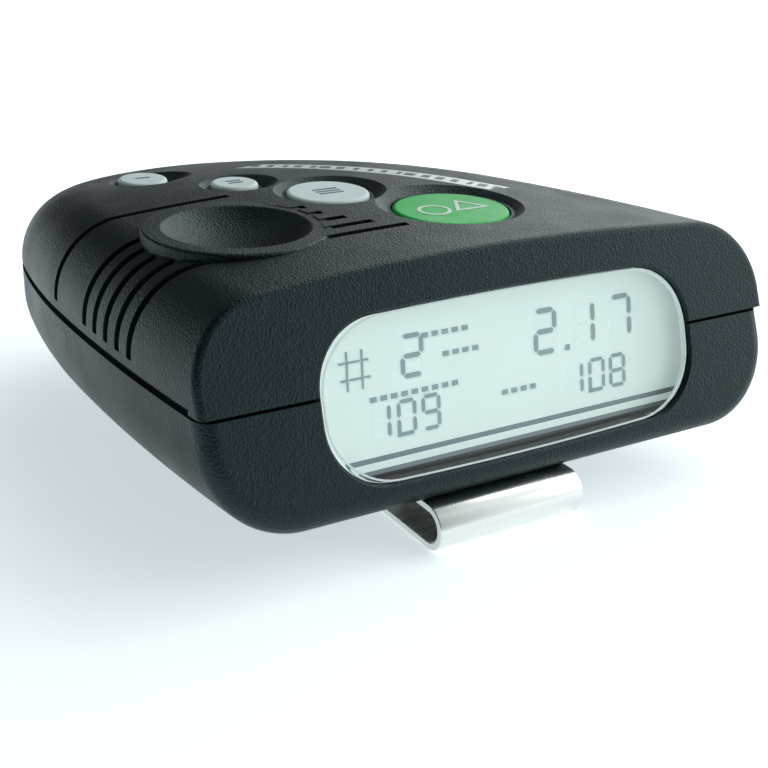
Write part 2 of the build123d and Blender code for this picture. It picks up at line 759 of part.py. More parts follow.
def make_ribbon():
    """The flat cable from the main board up the back of the display board."""
    lean = radians(FACE_LEAN)
    back = DISPLAY_BOARD_FRONT + BOARD_THICKNESS + RIBBON / 2
    level = BOARD_TOP - PARTING + RIBBON / 2
    along = (level + back * sin(lean)) / cos(lean)
    corner_y = along * sin(lean) + back * cos(lean)
    top_y = RIBBON_TOP * sin(lean) + back * cos(lean)
    top_z = RIBBON_TOP * cos(lean) - back * sin(lean)
    with BuildPart() as board_ribbon:
        edge = behind_face(-RIBBON_WIDTH / 2, 0, PARTING)
        with BuildSketch(Plane(origin=edge, x_dir=(0, 1, 0), z_dir=(1, 0, 0))):
            with BuildLine():
                FilletPolyline(
                    (MAIN_BOARD_FRONT + RIBBON_LAP, level),
                    (corner_y, level),
                    (top_y, top_z),
                    radius=RIBBON_BEND,
                )
            trace(line_width=RIBBON)
        extrude(amount=RIBBON_WIDTH)
    finish(board_ribbon.part, "board_ribbon")


def make_main_board():
    """The main circuit board, cut to the case's plan and notched round the cell."""
    with BuildPart() as main_board:
        add(case_form(WALL + BOARD_FIT))
        add(
            block(
                (-FACE_WIDTH, MAIN_BOARD_FRONT, BOARD_TOP - BOARD_THICKNESS),
                (FACE_WIDTH, 2 * FACE_WIDTH, BOARD_TOP),
            ),
            mode=Mode.INTERSECT,
        )
        add(
            block(
                (-FACE_WIDTH, 0.0, 0.0),
                (CELL_X + CELL_RADIUS - CELL_NOTCH_LAP, bay_ends()[1] + BOARD_FIT / 2, 2 * PARTING),
            ),
            mode=Mode.SUBTRACT,
        )
        for x, y in CASE_POSTS:
            add(post(x, y, POST_RADIUS + BOARD_FIT, 0.0, 2 * PARTING), mode=Mode.SUBTRACT)
        for x, y in BOARD_POSTS:
            add(post(x, y, SCREW_RADIUS + SCREW_CLEAR, 0.0, 2 * PARTING), mode=Mode.SUBTRACT)
    finish(main_board.part, "main_board")

    with BuildPart() as board_chips:
        for x, y, width, length, height in CHIPS:
            low = (x - width / 2, y - length / 2, BOARD_TOP)
            add(block(low, (x + width / 2, y + length / 2, BOARD_TOP + height)))
    finish(board_chips.part, "board_chips")


def make_keys():
    """The four key caps and the switch plungers that they press."""
    for name, (x, y, radius, stand) in KEYS.items():
        top = top_height(x, y)
        guide_low = top - WALL - KEY_GUIDE_DROP
        with BuildPart() as key:
            add(post(x, y, radius, guide_low - KEY_FLANGE, top + stand))
            cap_edge = key.faces().sort_by(Axis.Z)[-1].edges()
            fillet(cap_edge, KEY_EDGE)
            flange_top = guide_low - KEY_REST_GAP
            add(post(x, y, radius + KEY_FLANGE_RIM, flange_top - KEY_FLANGE, flange_top))
            add(post(x, y, KEY_STEM_RADIUS, PLUNGER_TOP, guide_low - KEY_FLANGE / 2))
        finish(key.part, f"{name}_button")
        with BuildPart() as plunger:
            add(post(x, y, PLUNGER_RADIUS, BOARD_TOP + KEY_TRAVEL + PLUNGER_REST, PLUNGER_TOP))
        finish(plunger.part, f"{name}_plunger")

    with BuildPart() as switch_bodies:
        for x, y, _, _ in KEYS.values():
            half = SWITCH_SIZE / 2
            add(block((x - half, y - half, BOARD_TOP), (x + half, y + half, BOARD_TOP + SWITCH_HEIGHT)))
            add(
                post(
                    x,
                    y,
                    PLUNGER_RADIUS + PLUNGER_FIT,
                    BOARD_TOP + PLUNGER_REST / 2,
                    BOARD_TOP + SWITCH_HEIGHT + CUT,
                ),
                mode=Mode.SUBTRACT,
            )
    finish(switch_bodies.part, "switch_bodies")


def make_sounder():
    """A piezo disc under the thumb dish, on a foam ring."""
    seat = top_height(DISH_X, DISH_Y) - DISH_DEPTH - DISH_FLOOR
    ring_low = seat - SOUNDER_RING_DEPTH
    with BuildPart() as sounder_ring:
        add(post(DISH_X, DISH_Y, PIEZO_RADIUS, ring_low, seat))
        bore = PIEZO_RADIUS - SOUNDER_RING_WIDTH
        add(post(DISH_X, DISH_Y, bore, ring_low - CUT, seat + CUT), mode=Mode.SUBTRACT)
    finish(sounder_ring.part, "sounder_ring")
    with BuildPart() as piezo_disc:
        add(post(DISH_X, DISH_Y, PIEZO_RADIUS, ring_low - PIEZO_THICKNESS, ring_low))
    finish(piezo_disc.part, "piezo_disc")


def make_microphone():
    """An electret capsule in a rubber boot behind the side grooves."""
    wall_x = -FACE_WIDTH / 2 - LEFT_BULGE + WALL + MIC_WALL_GAP

    def barrel(radius, start, length):
        with BuildPart() as made:
            plane = Plane(origin=behind_face(start, MIC_Y, PARTING + MIC_Z), z_dir=(1, 0, 0))
            with BuildSketch(plane):
                Circle(radius)
            extrude(amount=length)
        return made.part

    with BuildPart() as mic_boot:
        add(barrel(MIC_RADIUS + MIC_BOOT_WALL, wall_x, MIC_DEPTH + MIC_BOOT_WALL))
        add(barrel(MIC_PORT_RADIUS, wall_x - 1.0, MIC_DEPTH), mode=Mode.SUBTRACT)
        add(barrel(MIC_RADIUS, wall_x + MIC_BOOT_WALL, MIC_DEPTH + 1.0), mode=Mode.SUBTRACT)
    finish(mic_boot.part, "mic_boot")
    with BuildPart() as microphone:
        add(barrel(MIC_RADIUS, wall_x + MIC_BOOT_WALL, MIC_DEPTH))
    finish(microphone.part, "microphone")


def make_power():
    """The lithium cell and its two contacts."""
    def barrel(radius, start, length):
        with BuildPart() as made:
            with BuildSketch(Plane(origin=behind_face(CELL_X, start, CELL_Z), z_dir=(0, 1, 0))):
                Circle(radius)
            extrude(amount=length)
        return made.part

    with BuildPart() as battery_cell:
        add(barrel(CELL_RADIUS, CELL_FRONT, CELL_LENGTH - CELL_NUB))
        fillet(battery_cell.edges(), CELL_EDGE)
        add(barrel(CELL_NUB_RADIUS, CELL_FRONT + CELL_LENGTH - 2 * CELL_NUB, 2 * CELL_NUB))
    finish(battery_cell.part, "battery_cell")

    front, back = bay_ends()
    half = CONTACT_WIDTH / 2
    low, high = CELL_Z - CELL_RADIUS / 2, CELL_Z + CELL_RADIUS / 2
    with BuildPart() as contact_spring:
        with BuildSketch(Plane(origin=(CELL_X - half, 0, 0), x_dir=(0, 1, 0), z_dir=(1, 0, 0))):
            with BuildLine():
                root = FACE_Y + front + CONTACT_SHEET / 2
                crest = FACE_Y + CELL_FRONT - CONTACT_SHEET / 2
                Line((root, low - 2.0), (root, low))
                Spline((root, low), (crest, CELL_Z), (root, high), tangents=((0, 1), (0, 1)))
                Line((root, high), (root, high + CONTACT_TAIL))
            trace(line_width=CONTACT_SHEET)
        extrude(amount=CONTACT_WIDTH)
    finish(contact_spring.part, "battery_contact_spring")
    with BuildPart() as contact_plate:
        add(
            block(
                (CELL_X - half, back - CONTACT_SHEET, low - CONTACT_FOOT),
                (CELL_X + half, back, high + CONTACT_TAIL),
            )
        )
        add(barrel(CELL_NUB_RADIUS / 2, CELL_FRONT + CELL_LENGTH, BAY_END_ROOM - CONTACT_SHEET / 2))
    finish(contact_plate.part, "battery_contact_plate")


def screw(x, y, head_low, head_high, tip, head_radius):
    """A pan-head screw with a cross recess, seen as a solid core without its thread."""
    with BuildPart() as made:
        add(post(x, y, head_radius, head_low, head_high))
        fillet(made.faces().sort_by(Axis.Z)[0].edges(), (head_high - head_low) / 3)
        add(post(x, y, SCREW_RADIUS, head_high - 0.2, tip))
        for along, across in ((head_radius * 0.6, SLOT_HALF), (SLOT_HALF, head_radius * 0.6)):
            add(
                block(
                    (x - along, y - across, head_low - CUT),
                    (x + along, y + across, head_low + SLOT_DEPTH),
                ),
                mode=Mode.SUBTRACT,
            )
    return made.part


def make_screws():
    """Three sets of screws: through the case, into the top for the board, and for the clip."""
    seat = case_head_seat()
    with BuildPart() as case_screws:
        for x, y in CASE_POSTS:
            add(screw(x, y, seat - SCREW_HEAD, seat, PARTING + CASE_SCREW_BITE, SCREW_HEAD_RADIUS))
    finish(case_screws.part, "case_screws")

    board_low = BOARD_TOP - BOARD_THICKNESS
    with BuildPart() as board_screws:
        for x, y in BOARD_POSTS:
            tip = BOARD_TOP + BOARD_SCREW_BITE
            add(screw(x, y, board_low - SCREW_HEAD, board_low, tip, SCREW_HEAD_RADIUS))
    finish(board_screws.part, "board_screws")

    plate_low = UNDERSIDE - CLIP_SHEET
    tip = INNER_FLOOR + CLIP_POST_HEIGHT - 1.2
    with BuildPart() as clip_screws:
        for x, y in clip_screw_places():
            add(screw(x, y, plate_low - CLIP_SCREW_HEAD, plate_low, tip, SCREW_HEAD_RADIUS))
    finish(clip_screws.part, "clip_screws")


def make_clip():
    """The belt clip: a plate screwed under the case and a leaf bent back under it."""
    width = CLIP_RIGHT - CLIP_LEFT
    half = CLIP_SHEET / 2
    middle = BEND_RADIUS
    upper = CLIP_HEIGHT - half
    with BuildPart() as clip_plate:
        add(
            block(
                (CLIP_LEFT, CLIP_BEND_AT + CLIP_SPLIT, UNDERSIDE - CLIP_SHEET),
                (CLIP_RIGHT, CLIP_PLATE_END, UNDERSIDE),
            )
        )
        back_corners = clip_plate.edges().filter_by(Axis.Z).group_by(Axis.Y)[-1]
        fillet(back_corners, CLIP_CORNER)
        for x, y in clip_screw_places():
            add(post(x, y, SCREW_RADIUS + SCREW_CLEAR, 0.0, PARTING), mode=Mode.SUBTRACT)
    finish(clip_plate.part, "clip_plate")

    knee_z = UNDERSIDE - CLIP_NIP - half
    with BuildPart() as clip_leaf:
        with BuildSketch(Plane(origin=behind_face(CLIP_LEFT, 0), x_dir=(0, 1, 0), z_dir=(1, 0, 0))):
            with BuildLine():
                ThreePointArc(
                    (CLIP_BEND_AT, upper), (CLIP_BEND_AT - middle + half, middle), (CLIP_BEND_AT, half)
                )
                FilletPolyline(
                    (CLIP_BEND_AT, half),
                    (CLIP_FLAT_END, half),
                    (CLIP_KNEE, knee_z),
                    (CLIP_LIP_END, knee_z - CLIP_LIP_DROP),
                    radius=CLIP_KNEE_ROUND,
                )
            trace(line_width=CLIP_SHEET)
        extrude(amount=width)
        tip_corners = clip_leaf.edges().filter_by(lambda edge: edge.length < 1.01 * CLIP_SHEET)
        tip_corners = tip_corners.sort_by(Axis.Y)[-2:]
        fillet(tip_corners, CLIP_CORNER)
    finish(clip_leaf.part, "clip_leaf")


def make_label_strip():
    """The name plate, following the top surface in its seat."""
    with BuildPart() as label_strip:
        add(label_band())
        add(case_form(), mode=Mode.INTERSECT)
        add(case_form(LABEL_THICKNESS), mode=Mode.SUBTRACT)
    finish(label_strip.part, "label_strip")


make_top_shell()
make_bottom_shell()
make_battery_door()
make_display_window()
make_display_parts()
make_ribbon()
make_main_board()
make_keys()
make_sounder()
make_microphone()
make_power()
make_screws()
make_clip()
make_label_strip()
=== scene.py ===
"""Pocket shot timer: finishes, printed marks, display segments and the one-piece belt clip,
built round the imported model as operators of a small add-on."""

from math import cos, pi, radians, sin

import bmesh
import bpy
from bpy.props import FloatProperty, FloatVectorProperty, IntProperty, PointerProperty
from mathutils import Matrix, Vector


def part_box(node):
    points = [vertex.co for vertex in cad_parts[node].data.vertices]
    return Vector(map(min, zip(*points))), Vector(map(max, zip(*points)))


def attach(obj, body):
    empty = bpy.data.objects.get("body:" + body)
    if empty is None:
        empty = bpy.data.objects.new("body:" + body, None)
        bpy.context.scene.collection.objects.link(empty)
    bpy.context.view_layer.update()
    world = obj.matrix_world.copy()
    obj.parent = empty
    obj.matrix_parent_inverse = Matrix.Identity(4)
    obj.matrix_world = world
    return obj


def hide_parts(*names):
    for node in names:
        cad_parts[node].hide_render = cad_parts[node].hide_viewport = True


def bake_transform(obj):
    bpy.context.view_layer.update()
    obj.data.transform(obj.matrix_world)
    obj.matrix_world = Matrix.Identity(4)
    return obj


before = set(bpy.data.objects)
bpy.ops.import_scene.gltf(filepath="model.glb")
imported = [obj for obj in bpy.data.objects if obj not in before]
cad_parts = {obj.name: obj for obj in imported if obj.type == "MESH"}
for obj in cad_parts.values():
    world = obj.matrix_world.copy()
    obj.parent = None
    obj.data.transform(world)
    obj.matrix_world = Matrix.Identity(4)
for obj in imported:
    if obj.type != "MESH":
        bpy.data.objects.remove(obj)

bl_info = {
    "name": "Pocket shot timer",
    "version": (1, 0, 0),
    "blender": (4, 5, 0),
    "location": "3D View > Sidebar > Timer",
    "description": "Builds the finishes and fine pieces of a pocket shot timer round its packed model",
    "category": "Object",
}

MM = 0.001  # lengths are in metres
FACE_LEAN = radians(17.3)
ACROSS = Vector((1, 0, 0))
UP_FACE = Vector((0, sin(FACE_LEAN), cos(FACE_LEAN)))
OUT_OF_FACE = Vector((0, -cos(FACE_LEAN), sin(FACE_LEAN)))
KEYS = ("go", "review", "up", "down")
CLIP_NIP, CLIP_LIP_DROP = 0.35 * MM, 1.4 * MM
CLIP_RISE_FROM_END, CLIP_KNEE_FROM_END = 9.1 * MM, 4.1 * MM
CLIP_KNEE_ROUND, CLIP_CORNER = 1.3 * MM, 0.7 * MM
# painted glow: the display panel and its segments give off light, though they are no lamp; the panel's lower
# stripes are painted shade with a paler line between them
PAINTED_GLOW_TINT = (0.80, 1.0, 0.98, 1)
PANEL_PAINTED_GLOW, STRIPE_PAINTED_GLOW = 0.34, 0.02
STRIPE_LINE_AT, STRIPE_LINE_HALF = 0.6, 0.16
CAMERA_PLACE = Vector((-79.7, -120.7, 68.8)) * MM
CAMERA_HEADING, CAMERA_DIP, CAMERA_ROLL = radians(32.23), radians(22.99), radians(-2.02)
CAMERA_LENS = 60.94


# ---- sizes and colours a user would change ----
def length(name, description, default):
    """A length property, given in millimetres and kept in metres."""
    return FloatProperty(name=name, description=description, default=default * MM, unit="LENGTH", precision=5)


def tint(name, description, default):
    """A colour property."""
    return FloatVectorProperty(
        name=name, description=description, default=default, subtype="COLOR", min=0, max=1
    )


class TimerSizes(bpy.types.PropertyGroup):
    """Sizes of the pieces that are made here."""

    grain_pitch: length("Grain pitch", "Width of one pebble of the case's moulded grain", 0.27)
    grain_depth: length("Grain depth", "How deep the moulded grain is", 0.06)
    ink: length("Ink", "Thickness of printed marks", 0.04)
    stroke: length("Key stroke", "Line width of the marks on the keys", 0.42)
    large_digit: length("Large digits", "Height of the main time's digits", 5.1)
    small_digit: length("Small digits", "Height of the lower row's digits", 3.8)
    digit_slant: FloatProperty(name="Slant", description="Sideways lean of the digits", default=0.09)
    # painted shade: the lower stripes of the panel stand for the block's lower wall reflected in it
    edge_band: FloatProperty(
        name="Edge band", description="Share of the panel's height that its lower stripes take", default=0.13
    )
    window_half: length("Window half width", "Half the clear window's width", 23.3)
    window_height: length("Window height", "Height of the clear window at its ends", 16.6)
    window_corner: length("Window corner", "Corner radius of the clear window", 7.0)
    window_arch: length("Window arch", "How far the window's sides swell outwards", 0.5)
    # the rim is a pale raised line: a painted highlight on the window's polished edge
    rim_width: length("Rim width", "Width of the window's polished edge", 0.22)
    rim_rise: length("Rim rise", "Height of the window's polished edge", 0.06)
    clip_sheet: length("Clip sheet", "Thickness of the clip's steel", 0.8)
    clip_edge: length("Clip edge", "Rounding of the clip's sheared edges", 0.12)
    bend_steps: IntProperty(name="Bend steps", description="Facets round the clip's bend", default=36)


class TimerColours(bpy.types.PropertyGroup):
    """Colours of the finishes."""

    case: tint("Case", "Moulded case", (0.0030, 0.0060, 0.0070))
    go: tint("Start key", "Large key", (0.0, 0.58, 0.08))
    grey: tint("Grey keys", "Small keys", (0.80, 0.93, 0.92))
    panel: tint("Display", "Pale ground of the display", (0.88, 0.97, 0.94))
    segment: tint("Segments", "Dark display segments", (0.34, 0.47, 0.52))
    ghost: tint("Unlit segments", "Segments that are off", (0.85, 0.95, 0.92))
    steel: tint("Clip steel", "Plated spring steel", (0.80, 0.81, 0.79))
    print_ink: tint("Print", "White printed marks", (0.86, 0.93, 0.90))
    board: tint("Circuit board", "Solder resist", (0.012, 0.11, 0.05))


# ---- measuring the frame ----
def reach(node, direction):
    """Least and greatest distance of a node's surface along a direction."""
    along = [vertex.co.dot(direction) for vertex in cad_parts[node].data.vertices]
    return min(along), max(along)


def middle(node):
    """The middle of a node's box."""
    low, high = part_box(node)
    return (low + high) / 2


def face_place(x, node, lift):
    """Matrix from flat coordinates, level with the window's middle, to just off a node's front."""
    sizes = bpy.context.scene.timer_sizes
    height = reach("display_window", UP_FACE)[0] + sizes.window_arch + sizes.window_height / 2
    centre = ACROSS * x + UP_FACE * height + OUT_OF_FACE * (reach(node, OUT_OF_FACE)[1] + lift)
    columns = Matrix((ACROSS, UP_FACE, OUT_OF_FACE)).transposed()
    return Matrix.Translation(centre) @ columns.to_4x4()


def key_place(key):
    """Matrix from flat coordinates to the top of a key."""
    low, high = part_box(f"{key}_button")
    return Matrix.Translation(((low.x + high.x) / 2, (low.y + high.y) / 2, high.z))


# ---- making pieces ----
def settle(piece):
    """Apply a piece's modifiers, so that its mesh is final."""
    graph = bpy.context.evaluated_depsgraph_get()
    final = bpy.data.meshes.new_from_object(piece.evaluated_get(graph))
    piece.modifiers.clear()
    piece.data = final
    return piece


def new_piece(name, bm, material, smooth=False):
    """An object at the origin from a bmesh, with its finish."""
    bmesh.ops.recalc_face_normals(bm, faces=bm.faces)
    mesh = bpy.data.meshes.new(name)
    bm.to_mesh(mesh)
    bm.free()
    mesh.materials.append(material)
    for polygon in mesh.polygons:
        polygon.use_smooth = smooth
    piece = bpy.data.objects.new(name, mesh)
    bpy.context.scene.collection.objects.link(piece)
    return piece


def raise_face(bm, face, direction, height):
    """Turn a flat face into a plate of some height."""
    made = bmesh.ops.extrude_face_region(bm, geom=[face])
    moved = [item for item in made["geom"] if isinstance(item, bmesh.types.BMVert)]
    bmesh.ops.translate(bm, verts=moved, vec=direction * height)


def flat_shape(bm, points, place, height):
    """A flat outline set down by a matrix and raised by the ink's height."""
    face = bm.faces.new([bm.verts.new(place @ Vector((x, y, 0))) for x, y in points])
    raise_face(bm, face, (place.to_3x3() @ Vector((0, 0, 1))).normalized(), height)


def outline_only(bm, face, width, rise):
    """Keep a raised line of even width round a flat face."""
    up = face.normal.copy()
    inset = bmesh.ops.inset_individual(bm, faces=[face], thickness=width, use_even_offset=True)
    bmesh.ops.delete(bm, geom=[face], context="FACES_ONLY")
    made = bmesh.ops.extrude_face_region(bm, geom=inset["faces"])
    moved = [item for item in made["geom"] if isinstance(item, bmesh.types.BMVert)]
    bmesh.ops.translate(bm, verts=moved, vec=up * rise)


def ring(bm, corners, radius, stroke, place, rise, turn=0.0):
    """A raised closed line: a circle, or a polygon of few corners."""
    turned = place @ Matrix.Rotation(turn, 4, "Z")
    made = bmesh.ops.create_circle(bm, cap_ends=True, segments=corners, radius=radius, matrix=turned)
    face = made["verts"][0].link_faces[0]
    face.normal_update()
    outline_only(bm, face, stroke, rise)


def window_line(bm, half, place):
    """The window's outline as a thin raised line: rounded corners and slightly swelling sides."""
    sizes = bpy.context.scene.timer_sizes
    made = bmesh.ops.create_grid(bm, x_segments=1, y_segments=1, size=1.0)
    for vertex in made["verts"]:
        vertex.co.x *= half.x
        vertex.co.y *= half.y
    bmesh.ops.bevel(
        bm,
        geom=list(bm.verts),
        offset=sizes.window_corner,
        segments=12,
        profile=0.5,
        affect="VERTICES",
        material=-1,
    )
    bmesh.ops.delete(bm, geom=list(bm.faces), context="FACES_ONLY")
    sides = [edge for edge in bm.edges if edge.calc_length() > sizes.window_corner / 3]
    bmesh.ops.subdivide_edges(bm, edges=sides, cuts=12)
    for vertex in bm.verts:
        across, along = vertex.co.x / half.x, vertex.co.y / half.y
        vertex.co.x += sizes.window_arch * across * (1 - along**2)
        vertex.co.y += sizes.window_arch * along * (1 - across**2)
    front = bmesh.ops.edgeloop_fill(bm, edges=list(bm.edges))["faces"][0]
    front.normal_update()
    if front.normal.z < 0:
        front.normal_flip()
    outline_only(bm, front, sizes.rim_width, sizes.rim_rise)
    bmesh.ops.transform(bm, matrix=place, verts=bm.verts)


# ---- nodes of the finishes ----
def add_node(tree, kind, **settings):
    """A shader node with its settings."""
    node = tree.nodes.new(kind)
    for key, value in settings.items():
        setattr(node, key, value)
    return node


def start_material(name, colour, roughness, metallic=0.0):
    """A material with a principled shader, and its tree."""
    material = bpy.data.materials.new(name)
    material.use_nodes = True
    shader = material.node_tree.nodes["Principled BSDF"]
    shader.inputs["Base Color"].default_value = (*colour, 1)
    shader.inputs["Roughness"].default_value = roughness
    shader.inputs["Metallic"].default_value = metallic
    return material, material.node_tree, shader


def noise(tree, pitch, stretch=(1, 1, 1), detail=4.0):
    """Noise on object coordinates, with one feature about every pitch metres."""
    where = add_node(tree, "ShaderNodeTexCoord")
    mapping = add_node(tree, "ShaderNodeMapping")
    mapping.inputs["Scale"].default_value = stretch
    texture = add_node(tree, "ShaderNodeTexNoise")
    texture.inputs["Scale"].default_value = 1 / pitch
    texture.inputs["Detail"].default_value = detail
    tree.links.new(where.outputs["Object"], mapping.inputs["Vector"])
    tree.links.new(mapping.outputs["Vector"], texture.inputs["Vector"])
    return texture.outputs["Fac"]


def cells(tree, pitch, smoothness=0.6):
    """Pebbled cells on object coordinates."""
    where = add_node(tree, "ShaderNodeTexCoord")
    texture = add_node(tree, "ShaderNodeTexVoronoi", feature="SMOOTH_F1")
    texture.inputs["Scale"].default_value = 1 / pitch
    texture.inputs["Smoothness"].default_value = smoothness
    tree.links.new(where.outputs["Object"], texture.inputs["Vector"])
    return texture.outputs["Distance"]


def to_range(tree, value, low, high, start=0.0, end=1.0):
    """A value moved from one range to another."""
    node = add_node(tree, "ShaderNodeMapRange")
    node.inputs["From Min"].default_value = start
    node.inputs["From Max"].default_value = end
    node.inputs["To Min"].default_value = low
    node.inputs["To Max"].default_value = high
    tree.links.new(value, node.inputs["Value"])
    return node.outputs["Result"]


def blend_colours(tree, factor, first, second):
    """Two colours mixed by a value; either may be a socket."""
    node = add_node(tree, "ShaderNodeMix", data_type="RGBA")
    tree.links.new(factor, node.inputs["Factor"])
    for socket, colour in ((node.inputs[6], first), (node.inputs[7], second)):
        if isinstance(colour, bpy.types.NodeSocket):
            tree.links.new(colour, socket)
        else:
            socket.default_value = (*colour, 1)
    return node.outputs[2]


def calculate(tree, operation, first, second=0.0):
    """One sum; either side may be a socket."""
    node = add_node(tree, "ShaderNodeMath", operation=operation)
    for socket, value in zip(node.inputs, (first, second)):
        if isinstance(value, bpy.types.NodeSocket):
            tree.links.new(value, socket)
        else:
            socket.default_value = value
    return node.outputs[0]


def relief(tree, shader, height, depth, strength=1.0):
    """Bump from a height socket, chained on what the shader already has."""
    bump = add_node(tree, "ShaderNodeBump")
    bump.inputs["Distance"].default_value = depth
    bump.inputs["Strength"].default_value = strength
    normal = shader.inputs["Normal"]
    if normal.is_linked:
        tree.links.new(normal.links[0].from_socket, bump.inputs["Normal"])
    tree.links.new(height, bump.inputs["Height"])
    tree.links.new(bump.outputs["Normal"], normal)


def vary(tree, shader, colour, share, pitch):
    """Let the base colour drift by a share, lighter and darker."""
    dark = [part * (1 - share) for part in colour]
    light = [min(1.0, part * (1 + share)) for part in colour]
    tree.links.new(blend_colours(tree, noise(tree, pitch), dark, light), shader.inputs["Base Color"])


def vary_gloss(tree, shader, low, high, pitch, stretch=(1, 1, 1)):
    """Let the roughness drift, as handling leaves it."""
    drift = to_range(tree, noise(tree, pitch, stretch), low, high, 0.3, 0.7)
    tree.links.new(drift, shader.inputs["Roughness"])


# ---- the finishes ----
def case_finish():
    """Charcoal moulded plastic with a pebbled grain and a slight sheen from handling."""
    sizes, colours = bpy.context.scene.timer_sizes, bpy.context.scene.timer_colours
    material, tree, shader = start_material("case", colours.case, 0.45)
    shader.inputs["Specular Tint"].default_value = (0.62, 0.93, 1.0, 1)
    shader.inputs["Specular IOR Level"].default_value = 0.40
    vary(tree, shader, colours.case, 0.22, 6 * MM)
    vary_gloss(tree, shader, 0.34, 0.44, 5 * MM)
    pebbles = cells(tree, sizes.grain_pitch)
    relief(tree, shader, pebbles, sizes.grain_depth, 0.9)
    fine = noise(tree, 0.7 * sizes.grain_pitch, detail=2.0)
    relief(tree, shader, fine, sizes.grain_depth, 0.9)
    relief(tree, shader, noise(tree, 9 * MM, detail=1.0), 0.05 * MM, 0.25)
    return material


def window_finish():
    """Clear polished acrylic that lets the lamps through to the display."""
    material, tree, shader = start_material("window", (0.97, 1.0, 0.99), 0.015)
    shader.inputs["Transmission Weight"].default_value = 1.0
    shader.inputs["IOR"].default_value = 1.49
    relief(tree, shader, noise(tree, 7 * MM, detail=1.0), 0.01 * MM, 0.2)
    clear = add_node(tree, "ShaderNodeBsdfTransparent")
    path = add_node(tree, "ShaderNodeLightPath")
    mix = add_node(tree, "ShaderNodeMixShader")
    tree.links.new(path.outputs["Is Shadow Ray"], mix.inputs["Fac"])
    tree.links.new(shader.outputs["BSDF"], mix.inputs[1])
    tree.links.new(clear.outputs["BSDF"], mix.inputs[2])
    tree.links.new(mix.outputs["Shader"], tree.nodes["Material Output"].inputs["Surface"])
    return material


def panel_finish():
    """The pale ground of the display, with a painted glow, painted shade darkening it towards the bottom, and
    two painted shade stripes along its lower edge where the block's lower wall is reflected.
    """
    colour = bpy.context.scene.timer_colours.panel
    material, tree, shader = start_material("panel", colour, 0.32)
    shader.inputs["Emission Color"].default_value = PAINTED_GLOW_TINT
    low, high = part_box("lcd_panel")
    where = add_node(tree, "ShaderNodeTexCoord")
    split = add_node(tree, "ShaderNodeSeparateXYZ")
    tree.links.new(where.outputs["Object"], split.inputs["Vector"])
    height = to_range(tree, split.outputs["Z"], 0.0, 1.0, low.z, high.z)
    # painted shade: the ground is darker towards the bottom, with a little random drift
    drift = calculate(tree, "ADD", calculate(tree, "MULTIPLY", height, 0.8), noise(tree, 8 * MM))
    dark = [part * 0.88 for part in colour]
    shade = blend_colours(tree, to_range(tree, drift, 0.0, 1.0, 0.3, 1.2), dark, colour)
    sizes = bpy.context.scene.timer_sizes
    # painted shade stripes with a paler line between them: the block's lower wall reflected in the panel
    in_edge = calculate(tree, "LESS_THAN", height, sizes.edge_band)
    from_line = calculate(tree, "SUBTRACT", height, STRIPE_LINE_AT * sizes.edge_band)
    distance = calculate(tree, "ABSOLUTE", from_line)
    off_line = calculate(tree, "GREATER_THAN", distance, STRIPE_LINE_HALF * sizes.edge_band)
    in_painted_shade = calculate(tree, "MULTIPLY", in_edge, off_line)
    shade = blend_colours(tree, in_painted_shade, shade, (0.20, 0.29, 0.33))
    # painted glow over the panel, nearly none in the stripes
    tree.links.new(to_range(tree, in_painted_shade, PANEL_PAINTED_GLOW, STRIPE_PAINTED_GLOW), shader.inputs["Emission Strength"])
    tree.links.new(shade, shader.inputs["Base Color"])
    relief(tree, shader, noise(tree, 0.12 * MM), 0.004 * MM, 0.4)
    return material


def holder_finish():
    """The frame behind the window's lower edge, shiny, and pale as a painted reflection of the light that
    runs down the block.
    """
    material, tree, shader = start_material("holder", (0.36, 0.47, 0.50), 0.22, 0.5)
    vary(tree, shader, (0.36, 0.47, 0.50), 0.15, 4 * MM)
    relief(tree, shader, noise(tree, 0.5 * MM, (0.1, 1, 1)), 0.01 * MM, 0.5)
    return material


def rim_highlight_finish():
    """Pale colour on the block's polished edge: a painted highlight, standing for the light the edge gathers.
    """
    material, tree, shader = start_material("window_rim_highlight", (0.80, 0.90, 0.90), 0.12)
    shader.inputs["Coat Weight"].default_value = 0.5
    vary(tree, shader, (0.80, 0.90, 0.90), 0.10, 5 * MM)
    relief(tree, shader, noise(tree, 2 * MM), 0.01 * MM, 0.3)
    return material


def segment_finish(name, colour, roughness, glow=0.0):
    """Liquid crystal segments or print, softly uneven; segments carry some of the panel's painted glow,
    though they are no lamp.
    """
    material, tree, shader = start_material(name, colour, roughness)
    # painted glow: emission on segments and print, no lamp
    shader.inputs["Emission Color"].default_value = PAINTED_GLOW_TINT
    shader.inputs["Emission Strength"].default_value = glow
    vary(tree, shader, colour, 0.10, 2 * MM)
    relief(tree, shader, noise(tree, 0.15 * MM), 0.004 * MM, 0.3)
    return material


def key_finish(name, colour, roughness):
    """Satin moulded key caps with a very fine texture."""
    material, tree, shader = start_material(name, colour, roughness)
    shader.inputs["Specular IOR Level"].default_value = 0.28
    vary(tree, shader, colour, 0.07, 3 * MM)
    vary_gloss(tree, shader, roughness - 0.06, roughness + 0.06, 2.5 * MM)
    relief(tree, shader, noise(tree, 0.13 * MM), 0.006 * MM, 0.6)
    return material


